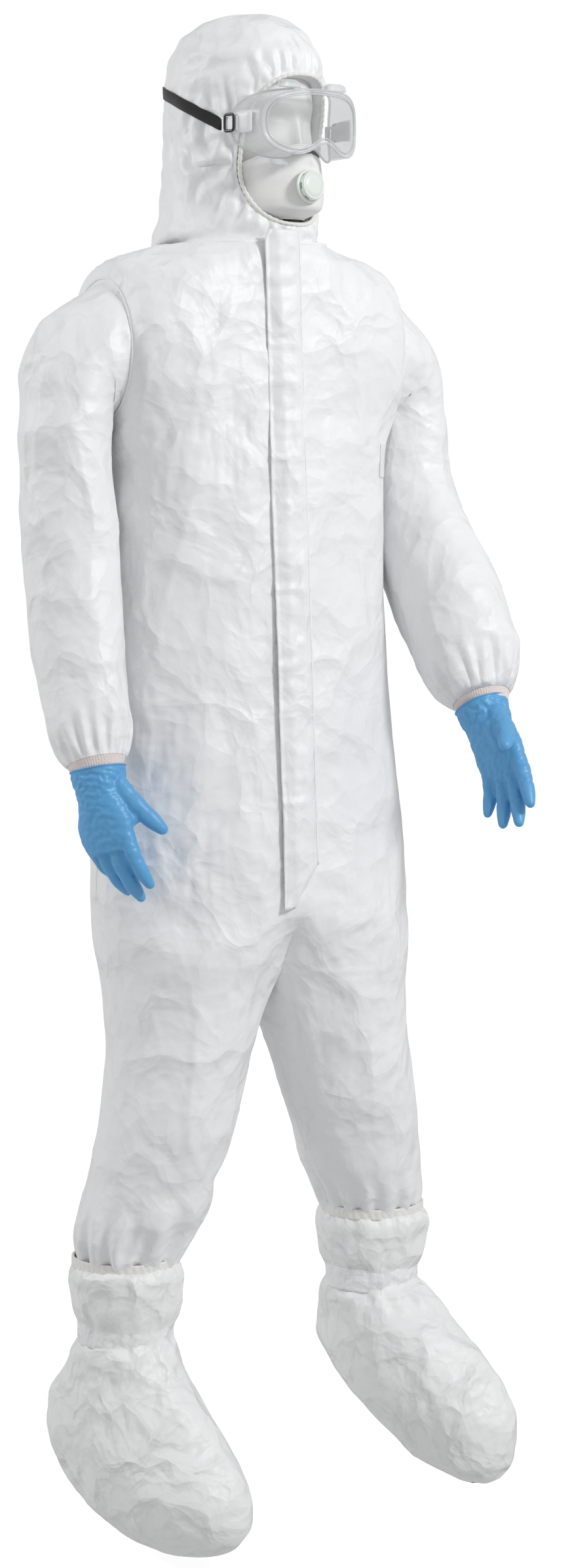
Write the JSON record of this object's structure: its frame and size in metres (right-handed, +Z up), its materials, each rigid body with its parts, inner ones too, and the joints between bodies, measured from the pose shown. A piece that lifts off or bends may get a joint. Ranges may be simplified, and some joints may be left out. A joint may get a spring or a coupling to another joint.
{
  "type": "hooded protective coverall on display form",
  "caption": "Hooded disposable chemical protective coverall with storm flap, goggles, valved mask, gloves and overboots, worn by a hanging display form.",
  "frame": {"origin": "centre of the support socket's flat end, at the back of the display form's pelvis", "axes": "+Z up, the suit faces -Y, +X to the wearer's left"},
  "size_m": [0.6322, 0.4782, 2.005],
  "materials": {
    "coverall_fabric": "smooth film-faced nonwoven, soft sheen",
    "trim_elastic": "gathered elastic, matt",
    "zip_white": "moulded nylon",
    "glove_nitrile": "thin nitrile, satin",
    "goggle_clear": "clear soft plastic",
    "lens_clear": "clear gloss",
    "clip_white": "moulded, gloss",
    "strap_black": "woven elastic, matt",
    "mask_fibre": "embossed nonwoven, matt",
    "valve_plastic": "moulded, satin",
    "valve_rubber": "thin silicone",
    "nose_wire": "soft strip, satin",
    "display_form": "white moulded, satin",
    "socket_steel": "turned"
  },
  "bodies": {
    "torso": {"coverall_front_right": "coverall_fabric", "coverall_front_left": "coverall_fabric", "coverall_back": "coverall_fabric", "trouser_leg_right": "coverall_fabric", "trouser_leg_left": "coverall_fabric", "ankle_elastic_right": "trim_elastic", "ankle_elastic_left": "trim_elastic", "overboot_upper_right": "coverall_fabric", "overboot_upper_left": "coverall_fabric", "overboot_elastic_right": "trim_elastic", "overboot_elastic_left": "trim_elastic", "overboot_tie_right": "coverall_fabric", "overboot_tie_left": "coverall_fabric", "zip_tape_right": "zip_white", "zip_tape_left": "zip_white", "zip_chain": "zip_white", "zip_bottom_stop": "zip_white", "chest_label": "mask_fibre", "torso_form": "display_form", "leg_form_right": "display_form", "leg_form_left": "display_form", "neck_post": "display_form", "support_socket": "socket_steel"},
    "head": {"mannequin_head": "display_form", "hood_crown": "coverall_fabric", "hood_elastic": "trim_elastic", "goggle_strap": "strap_black", "mask_band_lower": "mask_fibre", "mask_band_upper": "mask_fibre"},
    "goggles": {"goggle_frame": "goggle_clear", "goggle_lens": "lens_clear", "goggle_vent_left": "goggle_clear", "goggle_vent_right": "goggle_clear", "goggle_vent_bottom": "goggle_clear", "goggle_clip_right": "clip_white", "goggle_clip_left": "clip_white"},
    "mask": {"mask_body": "mask_fibre", "mask_chin_panel": "mask_fibre", "mask_nose_clip": "nose_wire", "valve_seat": "valve_plastic", "valve_cover": "valve_plastic"},
    "valve_disc": {"valve_diaphragm": "valve_rubber"},
    "arm_right": {"sleeve_right": "coverall_fabric", "cuff_right": "trim_elastic", "arm_form_right": "display_form"},
    "arm_left": {"sleeve_left": "coverall_fabric", "cuff_left": "trim_elastic", "arm_form_left": "display_form"},
    "hand_right": {"glove_right": "glove_nitrile"},
    "hand_left": {"glove_left": "glove_nitrile"},
    "flap": {"storm_flap": "coverall_fabric", "flap_adhesive": "trim_elastic"},
    "slider": {"zip_slider": "zip_white"},
    "pull": {"zip_pull": "zip_white"}
  },
  "joints": [
    {"name": "neck_turn", "type": "hinge", "parent": "torso", "child": "head", "pos_m": [0, -0.148, 0.725], "axis": [0, 0, 1], "range_deg": [-20, 20]},
    {"name": "shoulder_right", "type": "hinge", "parent": "torso", "child": "arm_right", "pos_m": [-0.1995, -0.152, 0.565], "axis": [-1, 0, 0], "range_deg": [-2, 40]},
    {"name": "shoulder_left", "type": "hinge", "parent": "torso", "child": "arm_left", "pos_m": [0.1995, -0.152, 0.565], "axis": [-1, 0, 0], "range_deg": [-20, 40]},
    {"name": "wrist_right", "type": "hinge", "parent": "arm_right", "child": "hand_right", "pos_m": [-0.262, -0.261, 0.04], "axis": [0.0311, -0.3578, -0.9333], "range_deg": [-8, 20]},
    {"name": "wrist_left", "type": "hinge", "parent": "arm_left", "child": "hand_left", "pos_m": [0.252, -0.358, 0.11], "axis": [0, -0.5029, -0.8644], "range_deg": [-8, 20]},
    {"name": "goggles_pull", "type": "slide", "parent": "head", "child": "goggles", "axis": [0.2588, -0.9659, 0], "range_m": [0, 0.03], "stiffness_N_per_m": 60, "springref_m": -0.05, "deforming": ["goggle_strap"]},
    {"name": "mask_pull", "type": "slide", "parent": "head", "child": "mask", "axis": [0.183, -0.683, -0.7071], "range_m": [0, 0.0035], "stiffness_N_per_m": 80, "springref_m": -0.04, "deforming": ["mask_band_lower", "mask_band_upper"]},
    {"name": "valve_open", "type": "hinge", "parent": "mask", "child": "valve_disc", "pos_m": [0.02331, -0.30362, 0.78576], "axis": [-0.9659, -0.2588, 0], "range_deg": [0, 12], "stiffness_Nm_per_rad": 0.002, "springref_deg": -5.73},
    {"name": "flap_open", "type": "hinge", "parent": "torso", "child": "flap", "pos_m": [0.0215, -0.28099, 0.67019], "axis": [0, 0.0633, 0.998], "range_deg": [0, 95]},
    {"name": "zip_slide", "type": "slide", "parent": "torso", "child": "slider", "axis": [0, -0.0633, -0.998], "range_m": [0, 0.76]},
    {"name": "zip_pull_swing", "type": "hinge", "parent": "slider", "child": "pull", "pos_m": [0, -0.28669, 0.66253], "axis": [-1, 0, 0], "range_deg": [0, 10]}
  ]
}
